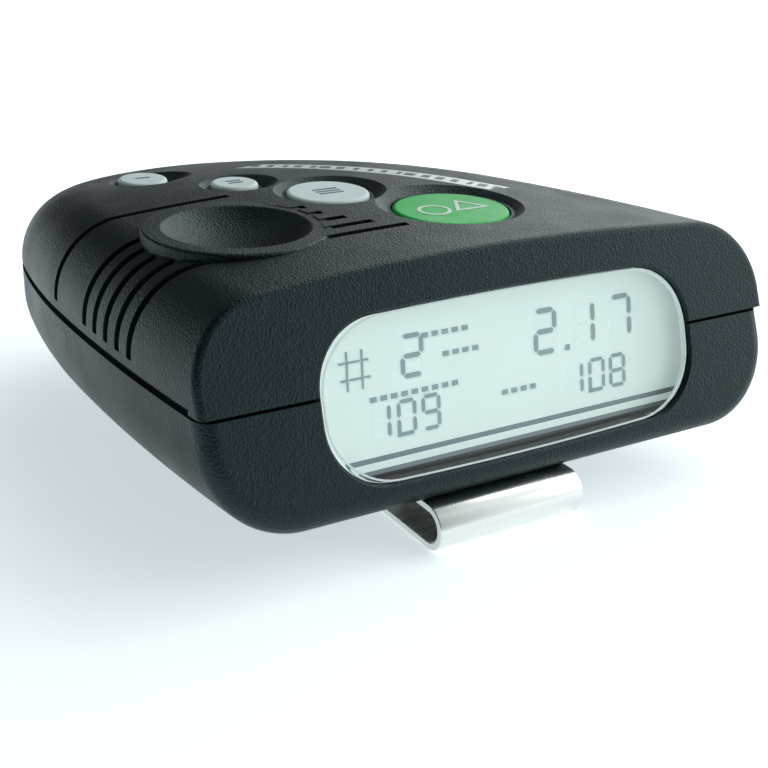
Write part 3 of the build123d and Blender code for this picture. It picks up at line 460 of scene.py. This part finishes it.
def steel_finish(name, colour, low, high):
    """Plated metal with fine lines along its width and faint handling marks."""
    material, tree, shader = start_material(name, colour, low, 1.0)
    vary(tree, shader, colour, 0.05, 4 * MM)
    lines = noise(tree, 0.35 * MM, (0.03, 1, 1))
    smudges = noise(tree, 5 * MM)
    half_lines = calculate(tree, "MULTIPLY", lines, 0.5)
    half_smudges = calculate(tree, "MULTIPLY", smudges, 0.5)
    mixed = calculate(tree, "ADD", half_lines, half_smudges)
    tree.links.new(to_range(tree, mixed, low, high, 0.3, 0.7), shader.inputs["Roughness"])
    relief(tree, shader, lines, 0.003 * MM, 0.25)
    return material


def moulded_finish(name, colour, roughness, pitch, depth):
    """Plain moulded plastic, rubber or foam of a given texture."""
    material, tree, shader = start_material(name, colour, roughness)
    vary(tree, shader, colour, 0.18, 3 * MM)
    vary_gloss(tree, shader, roughness - 0.08, min(1.0, roughness + 0.08), 3 * MM)
    relief(tree, shader, cells(tree, pitch), depth, 0.8)
    return material


def board_finish():
    """Green solder resist over a weave, with paler copper runs under it."""
    colour = bpy.context.scene.timer_colours.board
    material, tree, shader = start_material("circuit_board", colour, 0.35)
    where = add_node(tree, "ShaderNodeTexCoord")
    runs = add_node(tree, "ShaderNodeTexBrick")
    runs.inputs["Scale"].default_value = 1 / (3 * MM)
    runs.inputs["Mortar Size"].default_value = 0.08
    runs.inputs["Color1"].default_value = (*colour, 1)
    runs.inputs["Color2"].default_value = (*[part * 0.85 for part in colour], 1)
    runs.inputs["Mortar"].default_value = (*[min(1.0, part * 1.9) for part in colour], 1)
    tree.links.new(where.outputs["Object"], runs.inputs["Vector"])
    tree.links.new(runs.outputs["Color"], shader.inputs["Base Color"])
    relief(tree, shader, runs.outputs["Fac"], 0.02 * MM, 0.6)
    return material


def strip_finish():
    """Silver printed film with a row of plain dark bars along its arc."""
    material, tree, shader = start_material("name_strip", (0.70, 0.78, 0.78), 0.30, 0.35)
    arc_centre = Vector((-83.15, -53.41, 0)) * MM
    arc_radius, bar_pitch, bar_half = 112.2 * MM, 1.9 * MM, 0.75 * MM
    where = add_node(tree, "ShaderNodeTexCoord")
    mapping = add_node(tree, "ShaderNodeMapping")
    mapping.inputs["Location"].default_value = -arc_centre
    split = add_node(tree, "ShaderNodeSeparateXYZ")
    tree.links.new(where.outputs["Object"], mapping.inputs["Vector"])
    tree.links.new(mapping.outputs["Vector"], split.inputs["Vector"])
    x, y = split.outputs["X"], split.outputs["Y"]
    squares = calculate(tree, "ADD", calculate(tree, "MULTIPLY", x, x), calculate(tree, "MULTIPLY", y, y))
    off_line = calculate(tree, "SUBTRACT", calculate(tree, "SQRT", squares), arc_radius)
    in_band = calculate(tree, "LESS_THAN", calculate(tree, "ABSOLUTE", off_line), bar_half)
    along = calculate(tree, "MULTIPLY", calculate(tree, "ARCTAN2", y, x), arc_radius / bar_pitch)
    place_in_bar = calculate(tree, "FRACT", along)
    which = calculate(tree, "FLOOR", along)
    chance = add_node(tree, "ShaderNodeTexWhiteNoise", noise_dimensions="1D")
    tree.links.new(which, chance.inputs["W"])
    width = to_range(tree, chance.outputs["Value"], 0.25, 0.85)
    in_bar = calculate(tree, "LESS_THAN", place_in_bar, width)
    dark = calculate(tree, "MULTIPLY", in_band, in_bar)
    colour = blend_colours(tree, dark, (0.72, 0.80, 0.80), (0.03, 0.04, 0.045))
    tree.links.new(colour, shader.inputs["Base Color"])
    vary_gloss(tree, shader, 0.26, 0.38, 2 * MM)
    relief(tree, shader, noise(tree, 0.2 * MM), 0.004 * MM, 0.5)
    return material


def dress(material, *nodes):
    """Give carried-over nodes a finish."""
    for name in nodes:
        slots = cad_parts[name].data.materials
        slots.clear()
        slots.append(material)


# ---- display contents ----
SEGMENTS_OF = {"0": "abcdef", "1": "bc", "2": "abdeg", "7": "abc", "8": "abcdefg", "9": "abcdfg"}


def segment_points(part, width, height, stroke, gap):
    """The six corners of one display segment, in its digit's own coordinates."""
    half_w, half_h = (width - stroke) / 2, (height - stroke) / 2
    level = {"a": half_h, "g": 0.0, "d": -half_h}
    if part in level:
        tip, body = half_w - gap, half_w - gap - stroke / 2
        outline = [(-tip, 0), (-body, -stroke / 2), (body, -stroke / 2), (tip, 0), (body, stroke / 2)]
        outline.append((-body, stroke / 2))
        return [(x, y + level[part]) for x, y in outline]
    side = half_w if part in "bc" else -half_w
    centre = half_h / 2 if part in "bf" else -half_h / 2
    tip, body = half_h / 2 - gap, half_h / 2 - gap - stroke / 2
    outline = [(0, -tip), (stroke / 2, -body), (stroke / 2, body), (0, tip), (-stroke / 2, body)]
    outline.append((-stroke / 2, -body))
    return [(x + side, y + centre) for x, y in outline]


def digit(bm, text, centre, height, place, ink, lit):
    """One seven-segment digit; lit picks the dark or the unlit segments."""
    slant = bpy.context.scene.timer_sizes.digit_slant
    width, stroke, gap = 0.62 * height, 0.115 * height, 0.02 * height
    for part in "abcdefg":
        if (part in SEGMENTS_OF[text]) is not lit:
            continue
        points = segment_points(part, width, height, stroke, gap)
        shaped = [(centre[0] + x + slant * y, centre[1] + y) for x, y in points]
        flat_shape(bm, shaped, place, ink)


def bar(bm, centre, width, height, place, ink):
    """A plain upright or level bar, slanted like the digits."""
    slant = bpy.context.scene.timer_sizes.digit_slant
    corners = [(-1, -1), (1, -1), (1, 1), (-1, 1)]
    points = [(x * width / 2, y * height / 2) for x, y in corners]
    flat_shape(bm, [(centre[0] + x + slant * y, centre[1] + y) for x, y in points], place, ink)


def display_rows():
    """Every digit on the display: its text, middle and height."""
    sizes = bpy.context.scene.timer_sizes
    large, small = sizes.large_digit, sizes.small_digit
    rows = [("2", (-11.0 * MM, 3.5 * MM), 0.9 * large)]
    for text, x in zip("217", (6.2, 11.6, 16.9)):
        rows.append((text, (x * MM, 3.25 * MM), large))
    for first in (-15.6, 9.6):
        last = "9" if first < 0 else "8"
        for text, step in zip("10" + last, (0.0, 3.1, 6.1)):
            rows.append((text, ((first + step) * MM, -2.7 * MM), small))
    return rows


def display_points():
    """The decimal points: middle and size."""
    rows = ((9.0, 1.0, 0.65), (-13.6, -4.35, 0.5), (11.6, -4.35, 0.5))
    return [((x * MM, y * MM), size * MM) for x, y, size in rows]


def hash_mark(bm, place, ink):
    """Two upright and two level bars crossed."""
    centre, size, line = Vector((-17.9, 3.1)) * MM, 4.0 * MM, 0.24 * MM
    for shift in (-0.22, 0.22):
        bar(bm, (centre.x + shift * size, centre.y), line, size, place, ink)
        for piece in (-0.36, 0.0, 0.36):
            reach_x = 0.2 * size if piece else 0.36 * size
            bar(bm, (centre.x + piece * size * 0.95, centre.y + shift * size), reach_x, line, place, ink)


def caption_bars(bm, place, ink):
    """Rows of short plain bars where a display has its fixed captions."""
    rows = [(-9.2, 5.3, 5), (-6.9, 3.0, 4), (-16.2, -0.25, 9), (0.0, -2.4, 4)]
    pitch, width, height = 1.25 * MM, 0.8 * MM, 0.55 * MM
    for x, y, count in rows:
        for index in range(count):
            bar(bm, (x * MM + index * pitch, y * MM), width, height, place, ink)


def make_segments(name, lit, lift, shift, material):
    """One layer of display segments: lit, unlit, or the faint shadow of the lit ones."""
    ink = bpy.context.scene.timer_sizes.ink
    place = face_place(0, "lcd_panel", lift) @ Matrix.Translation((shift, -shift, 0))
    bm = bmesh.new()
    for text, centre, height in display_rows():
        digit(bm, text, centre, height, place, ink, lit)
    if lit:
        for centre, size in display_points():
            bar(bm, centre, size, size, place, ink)
        hash_mark(bm, place, ink)
        caption_bars(bm, place, ink)
    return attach(new_piece(name, bm, material), "case")


# ---- operators ----
class TIMER_OT_case(bpy.types.Operator):
    """Give the case halves and the battery door their moulded finish."""

    bl_idname = "timer.case"
    bl_label = "Case"

    def execute(self, context):
        dress(case_finish(), "top_shell", "bottom_shell", "battery_door")
        return {"FINISHED"}


class TIMER_OT_display(bpy.types.Operator):
    """Finish the clear window, the panel and its holder."""

    bl_idname = "timer.display"
    bl_label = "Display"

    def execute(self, context):
        dress(window_finish(), "display_window")
        dress(panel_finish(), "lcd_panel")
        dress(holder_finish(), "display_holder")
        self.window_rim_highlight(context)
        return {"FINISHED"}

    def window_rim_highlight(self, context):
        """A pale raised line round the front of the clear block: a painted highlight on its polished edge."""
        sizes = context.scene.timer_sizes
        half = Vector((sizes.window_half, sizes.window_height / 2))
        bm = bmesh.new()
        window_line(bm, half, face_place(middle("display_window").x, "display_window", 0.0))
        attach(new_piece("window_rim_highlight", bm, rim_highlight_finish()), "case")


class TIMER_OT_segments(bpy.types.Operator):
    """Lay the digits, captions, unlit segments and their faint shadow on the panel."""

    bl_idname = "timer.segments"
    bl_label = "Display segments"

    def execute(self, context):
        colours = context.scene.timer_colours
        ink = context.scene.timer_sizes.ink
        # painted glow on all three layers, to sit with the panel's painted glow; display_shadow is a painted
        # shadow: a paler copy of the lit segments, offset on the panel
        shade = [(a + 3 * b) / 4 for a, b in zip(colours.segment, colours.panel)]
        unlit = segment_finish("unlit", colours.ghost, 0.35, 0.31)
        make_segments("display_unlit", False, 0.2 * ink, 0.0, unlit)
        shadow = segment_finish("shade", shade, 0.4, 0.25)
        make_segments("display_shadow", True, 0.1 * ink, 0.22 * MM, shadow)
        dark = segment_finish("segment", colours.segment, 0.3, 0.04)
        make_segments("display_digits", True, 1.5 * ink, 0.0, dark)
        return {"FINISHED"}


class TIMER_OT_keys(bpy.types.Operator):
    """Finish the four keys and print a plain mark on each."""

    bl_idname = "timer.keys"
    bl_label = "Keys"

    def execute(self, context):
        colours = context.scene.timer_colours
        dress(key_finish("start_key", colours.go, 0.34), "go_button")
        dress(key_finish("grey_key", colours.grey, 0.42), "review_button", "up_button", "down_button")
        self.start_mark(context)
        self.small_marks(context)
        return {"FINISHED"}

    def start_mark(self, context):
        sizes = context.scene.timer_sizes
        place = key_place("go")
        white = segment_finish("white_print", context.scene.timer_colours.print_ink, 0.4)
        bm = bmesh.new()
        left = place @ Matrix.Translation((-2.3 * MM, 0, 0))
        right = place @ Matrix.Translation((2.2 * MM, 0, 0))
        ring(bm, 40, 2.0 * MM, sizes.stroke, left, sizes.ink)
        ring(bm, 3, 2.7 * MM, sizes.stroke, right, sizes.ink)
        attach(new_piece("start_mark", bm, white), "go_key")

    def small_marks(self, context):
        sizes = context.scene.timer_sizes
        dark = segment_finish("dark_print", (0.12, 0.16, 0.17), 0.5)
        bars = {"review": (0.9, 0.0, -0.9), "up": (0.45, -0.45), "down": (0.0,)}
        for key, rows in bars.items():
            bm = bmesh.new()
            width = 3.2 * MM if key == "review" else 1.9 * MM
            for row in rows:
                bar(bm, (0, row * MM), width, 0.34 * MM, key_place(key), sizes.ink)
            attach(new_piece(f"{key}_mark", bm, dark), f"{key}_key")


class TIMER_OT_clip(bpy.types.Operator):
    """Bend the belt clip from one steel strip, running from the plate round the bend to the leaf, in place of
    the two clip nodes.
    """

    bl_idname = "timer.clip"
    bl_label = "Belt clip"

    def execute(self, context):
        sizes = context.scene.timer_sizes
        low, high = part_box("clip_leaf")
        plate_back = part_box("clip_plate")[1].y
        half = sizes.clip_sheet / 2
        radius = (high.z - low.z) / 2
        bend = Vector((0, low.y + radius, radius))
        bm = bmesh.new()
        ends = [bm.verts.new((x, plate_back, high.z - half)) for x in (low.x, high.x)]
        edge = bm.edges.new(ends)
        edge = self.pull(bm, edge, bend.y, high.z - half)
        turned = bmesh.ops.spin(
            bm, geom=[*edge.verts, edge], cent=bend, axis=(1, 0, 0), angle=pi, steps=sizes.bend_steps
        )
        edge = next(item for item in turned["geom_last"] if isinstance(item, bmesh.types.BMEdge))
        knee_height = high.z - CLIP_NIP - half
        foot = self.pull(bm, edge, high.y - CLIP_RISE_FROM_END, half)
        knee = self.pull(bm, foot, high.y - CLIP_KNEE_FROM_END, knee_height)
        self.pull(bm, knee, high.y, knee_height - CLIP_LIP_DROP)
        bmesh.ops.bevel(
            bm,
            geom=[foot, knee],
            offset=CLIP_KNEE_ROUND,
            segments=8,
            profile=0.5,
            affect="EDGES",
            material=-1,
        )
        corners = [v for v in bm.verts if len(v.link_edges) == 2]
        bmesh.ops.bevel(
            bm, geom=corners, offset=CLIP_CORNER, segments=4, profile=0.5, affect="VERTICES", material=-1
        )
        steel = steel_finish("clip_steel", context.scene.timer_colours.steel, 0.20, 0.32)
        clip = new_piece("belt_clip", bm, steel, smooth=True)
        wall = clip.modifiers.new("wall", "SOLIDIFY")
        wall.thickness, wall.offset, wall.use_even_offset = sizes.clip_sheet, 0.0, True
        settle(clip)
        soften = clip.modifiers.new("edge", "BEVEL")
        soften.width, soften.segments, soften.limit_method = sizes.clip_edge, 3, "ANGLE"
        soften.angle_limit = radians(50)
        settle(clip)
        for polygon in clip.data.polygons:
            polygon.use_smooth = True
        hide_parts("clip_plate", "clip_leaf")
        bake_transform(clip)
        return {"FINISHED"}

    def pull(self, bm, edge, y, z):
        """Extrude the strip's end edge to a new place and return the new end."""
        made = bmesh.ops.extrude_edge_only(bm, edges=[edge])
        ends = [item for item in made["geom"] if isinstance(item, bmesh.types.BMVert)]
        for vertex in ends:
            vertex.co.y, vertex.co.z = y, z
        return bm.edges.get(ends)


class TIMER_OT_trim(bpy.types.Operator):
    """Print the name strip's plain bars and mark the battery door's opening direction."""

    bl_idname = "timer.trim"
    bl_label = "Trim"

    def execute(self, context):
        dress(strip_finish(), "label_strip")
        low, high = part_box("battery_door")
        foot = Matrix.Translation(((low.x + high.x) / 2, high.y - 5 * MM, low.z + 0.1 * MM))
        down = foot @ Matrix.Rotation(pi, 4, "X")
        bm = bmesh.new()
        ring(bm, 3, 2.6 * MM, 0.5 * MM, down, 0.16 * MM, turn=-pi / 2)
        arrow = new_piece("door_arrow", bm, bpy.data.materials["case"])
        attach(arrow, "door")
        return {"FINISHED"}


class TIMER_OT_metal(bpy.types.Operator):
    """Finish the screws, contacts, cell and sounder disc."""

    bl_idname = "timer.metal"
    bl_label = "Screws and contacts"

    def execute(self, context):
        screw_steel = steel_finish("screw_steel", (0.45, 0.46, 0.46), 0.28, 0.42)
        dress(screw_steel, "case_screws", "board_screws", "clip_screws")
        plated = steel_finish("contact_plating", (0.72, 0.70, 0.64), 0.22, 0.38)
        dress(plated, "battery_contact_spring", "battery_contact_plate", "switch_bodies", "microphone")
        dress(steel_finish("disc_brass", (0.72, 0.48, 0.16), 0.25, 0.4), "piezo_disc")
        dress(steel_finish("cell_sleeve", (0.42, 0.45, 0.50), 0.30, 0.42), "battery_cell")
        return {"FINISHED"}


class TIMER_OT_inside(bpy.types.Operator):
    """Finish the boards, ribbon, rubber and foam inside the case."""

    bl_idname = "timer.inside"
    bl_label = "Inside pieces"

    def execute(self, context):
        dress(board_finish(), "main_board", "display_board")
        dress(moulded_finish("chips", (0.02, 0.02, 0.022), 0.5, 0.4 * MM, 0.006 * MM), "board_chips")
        plungers = [f"{key}_plunger" for key in KEYS]
        dress(moulded_finish("plungers", (0.05, 0.05, 0.055), 0.45, 0.5 * MM, 0.005 * MM), *plungers)
        rubber = moulded_finish("rubber", (0.03, 0.03, 0.033), 0.75, 0.3 * MM, 0.01 * MM)
        dress(rubber, "lcd_contact_strips", "mic_boot")
        dress(moulded_finish("foam", (0.06, 0.06, 0.06), 0.9, 0.4 * MM, 0.05 * MM), "sounder_ring")
        dress(moulded_finish("film", (0.52, 0.22, 0.03), 0.3, 0.8 * MM, 0.004 * MM), "board_ribbon")
        return {"FINISHED"}


class TIMER_OT_stage(bpy.types.Operator):
    """Set the floor, the soft light round the object and the camera."""

    bl_idname = "timer.stage"
    bl_label = "Stage"

    def execute(self, context):
        self.floor()
        self.surroundings(context)
        self.lamps(context)
        self.camera(context)
        context.scene.view_settings.view_transform = "Standard"
        return {"FINISHED"}

    def floor(self):
        material, tree, shader = start_material("floor", (0.93, 0.95, 0.955), 0.6)
        vary(tree, shader, (0.92, 0.94, 0.945), 0.01, 0.2)
        shader.inputs["Specular IOR Level"].default_value = 0.2
        shader.inputs["Emission Color"].default_value = (0.88, 1.0, 1.03, 1)
        shader.inputs["Emission Strength"].default_value = 0.60
        bm = bmesh.new()
        level = Matrix.Translation((0, 0, -0.01 * MM))
        bmesh.ops.create_grid(bm, x_segments=1, y_segments=1, size=4.0, matrix=level)
        mesh = bpy.data.meshes.new("floor")
        bm.to_mesh(mesh)
        bm.free()
        mesh.materials.append(material)
        ground = bpy.data.objects.new("floor", mesh)
        bpy.context.scene.collection.objects.link(ground)

    def surroundings(self, context):
        """White all round, dim behind the viewer's left shoulder, straight above and to the left rear."""
        world = bpy.data.worlds.new("studio")
        context.scene.world = world
        world.use_nodes = True
        tree = world.node_tree
        where = add_node(tree, "ShaderNodeTexCoord")
        dim = self.dim_patch(tree, where, (-0.72, -0.62, 0.30), 0.15, 0.75)
        dark = self.dim_patch(tree, where, (-0.40, 0.05, 0.92), 0.55, 0.90)
        rear = self.dim_patch(tree, where, (0.00, 0.92, 0.40), 0.72, 0.97)
        deepest = calculate(tree, "MAXIMUM", calculate(tree, "MAXIMUM", dim, dark), rear)
        colour = blend_colours(tree, deepest, (1.0, 1.06, 1.08), (0.03, 0.04, 0.045))
        tree.links.new(colour, tree.nodes["Background"].inputs["Color"])

    def dim_patch(self, tree, where, direction, start, end):
        """How far a direction lies inside a soft-edged patch of the surroundings."""
        facing = add_node(tree, "ShaderNodeVectorMath", operation="DOT_PRODUCT")
        facing.inputs[1].default_value = Vector(direction).normalized()
        tree.links.new(where.outputs["Generated"], facing.inputs[0])
        return to_range(tree, facing.outputs["Value"], 0.0, 1.0, start, end)

    def lamps(self, context):
        """A broad lamp overhead, one behind and a low one from the right."""
        rows = (
            ("overhead", (0.42, 0.12, 0.48), 0.35, 0.8),
            ("behind", (0.52, 0.45, 0.28), 0.40, 0.35),
            ("right", (0.60, -0.25, 0.25), 0.35, 0.8),
        )
        for name, place, size, power in rows:
            data = bpy.data.lights.new(name, "AREA")
            data.size, data.energy = size, power
            data.color = (0.97, 1.0, 1.0)
            lamp = bpy.data.objects.new(name, data)
            lamp.location = place
            aim = Vector((0, 0, 0.015)) - Vector(place)
            lamp.rotation_euler = aim.to_track_quat("-Z", "Y").to_euler()
            context.scene.collection.objects.link(lamp)

    def camera(self, context):
        heading, dip, roll = CAMERA_HEADING, CAMERA_DIP, CAMERA_ROLL
        ahead = Vector((sin(heading) * cos(dip), cos(heading) * cos(dip), -sin(dip)))
        right = Vector((cos(heading), -sin(heading), 0))
        down = ahead.cross(right)
        rolled_right = right * cos(roll) + down * sin(roll)
        rolled_down = down * cos(roll) - right * sin(roll)
        columns = Matrix((rolled_right, -rolled_down, -ahead)).transposed()
        data = bpy.data.cameras.new("camera")
        data.lens, data.sensor_width = CAMERA_LENS, 36.0
        data.clip_start = 0.005
        camera = bpy.data.objects.new("camera", data)
        camera.matrix_world = Matrix.Translation(CAMERA_PLACE) @ columns.to_4x4()
        context.scene.collection.objects.link(camera)
        context.scene.camera = camera


OPERATORS = (
    TIMER_OT_case,
    TIMER_OT_display,
    TIMER_OT_segments,
    TIMER_OT_keys,
    TIMER_OT_clip,
    TIMER_OT_trim,
    TIMER_OT_metal,
    TIMER_OT_inside,
    TIMER_OT_stage,
)


class TIMER_PT_panel(bpy.types.Panel):
    """Sidebar panel with the timer's sizes, colours and pieces."""

    bl_idname = "TIMER_PT_panel"
    bl_label = "Pocket shot timer"
    bl_space_type = "VIEW_3D"
    bl_region_type = "UI"
    bl_category = "Timer"

    def draw(self, context):
        for group in (context.scene.timer_sizes, context.scene.timer_colours):
            box = self.layout.box()
            for name in group.bl_rna.properties.keys():
                if name not in ("rna_type", "name"):
                    box.prop(group, name)
        for operator in OPERATORS:
            self.layout.operator(operator.bl_idname)


CLASSES = (TimerSizes, TimerColours, *OPERATORS, TIMER_PT_panel)


def register():
    for item in CLASSES:
        bpy.utils.register_class(item)
    bpy.types.Scene.timer_sizes = PointerProperty(type=TimerSizes)
    bpy.types.Scene.timer_colours = PointerProperty(type=TimerColours)


def unregister():
    del bpy.types.Scene.timer_colours
    del bpy.types.Scene.timer_sizes
    for item in reversed(CLASSES):
        bpy.utils.unregister_class(item)


def main():
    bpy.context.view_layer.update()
    register()
    for operator in OPERATORS:
        group, name = operator.bl_idname.split(".")
        getattr(getattr(bpy.ops, group), name)()


if __name__ == "__main__":
    main()
